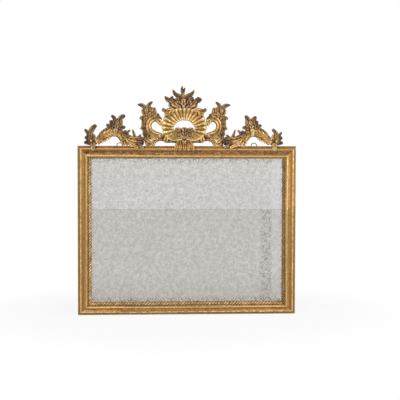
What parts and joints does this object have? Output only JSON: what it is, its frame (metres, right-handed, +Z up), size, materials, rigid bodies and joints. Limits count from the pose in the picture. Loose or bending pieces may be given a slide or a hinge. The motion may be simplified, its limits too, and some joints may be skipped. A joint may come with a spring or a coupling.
{
  "type": "overmantel mirror",
  "caption": "Gilt overmantel mirror: mitred moulded frame with rope slip, split mirror plate and a pierced carved crest with a shell, scrolls and leaf sprays.",
  "frame": {"origin": "middle of the flat underside of the bottom rail, on which the frame stands", "axes": "+Z up, +X to the right seen from the front, +Y towards the wall; the front faces -Y"},
  "size_m": [1.44, 0.0835, 1.5054],
  "materials": {
    "gilt_moulding": "worn water gilding over red-brown bole on a moulded softwood",
    "gilt_rope": "rubbed gilding, dark in the twists",
    "gilt_carving": "toned gilding on carved wood, umber in the recesses",
    "mirror_plate": "old silvered glass with fine foxing",
    "pine_frame": "aged unfinished pine, dusty",
    "pine_raw": "thin sawn pine, darkened",
    "forged_iron": "dark forged iron",
    "steel_screw": "dull steel"
  },
  "bodies": {
    "frame": {"back_rail_top": "pine_frame", "back_rail_bottom": "pine_frame", "back_stile_left": "pine_frame", "back_stile_right": "pine_frame", "moulding_top": "gilt_moulding", "moulding_bottom": "gilt_moulding", "moulding_left": "gilt_moulding", "moulding_right": "gilt_moulding", "rope_slip_top": "gilt_rope", "rope_slip_bottom": "gilt_rope", "rope_slip_left": "gilt_rope", "rope_slip_right": "gilt_rope", "mirror_plate_upper": "mirror_plate", "mirror_plate_lower": "mirror_plate", "seam_batten": "pine_raw", "glass_block_top_1": "pine_raw", "glass_block_top_2": "pine_raw", "glass_block_bottom_1": "pine_raw", "glass_block_bottom_2": "pine_raw", "glass_block_left_1": "pine_raw", "glass_block_left_2": "pine_raw", "glass_block_right_1": "pine_raw", "glass_block_right_2": "pine_raw", "backboard_1": "pine_raw", "backboard_2": "pine_raw", "backboard_3": "pine_raw", "backboard_4": "pine_raw", "shell": "gilt_carving", "shell_knop": "gilt_carving", "shell_drop": "gilt_carving", "finial_spray": "gilt_carving", "base_scroll_left": "gilt_carving", "base_scroll_right": "gilt_carving", "inner_scroll_left": "gilt_carving", "inner_scroll_right": "gilt_carving", "inner_flower_left": "gilt_carving", "inner_flower_right": "gilt_carving", "outer_scroll_left": "gilt_carving", "outer_scroll_right": "gilt_carving", "arch_spray_left": "gilt_carving", "arch_spray_right": "gilt_carving", "end_spray_left": "gilt_carving", "end_spray_right": "gilt_carving", "crest_brace_centre": "pine_raw", "crest_brace_left": "pine_raw", "crest_brace_right": "pine_raw", "brace_screw_centre_rail": "steel_screw", "brace_screw_centre_crest": "steel_screw", "brace_screw_left_rail": "steel_screw", "brace_screw_left_crest": "steel_screw", "brace_screw_right_rail": "steel_screw", "brace_screw_right_crest": "steel_screw", "hanging_strap_left": "forged_iron", "hanging_strap_right": "forged_iron", "strap_screw_left_1": "steel_screw", "strap_screw_left_2": "steel_screw", "strap_screw_right_1": "steel_screw", "strap_screw_right_2": "steel_screw"},
    "ring_left": {"hanging_ring_left": "forged_iron"},
    "ring_right": {"hanging_ring_right": "forged_iron"}
  },
  "joints": [
    {"name": "ring_left_swing", "type": "hinge", "parent": "frame", "child": "ring_left", "pos_m": [-0.445, 0.0342, 1.098], "axis": [-1, 0, 0], "range_deg": [-8, 175]},
    {"name": "ring_right_swing", "type": "hinge", "parent": "frame", "child": "ring_right", "pos_m": [0.445, 0.0342, 1.098], "axis": [-1, 0, 0], "range_deg": [-8, 175]}
  ]
}
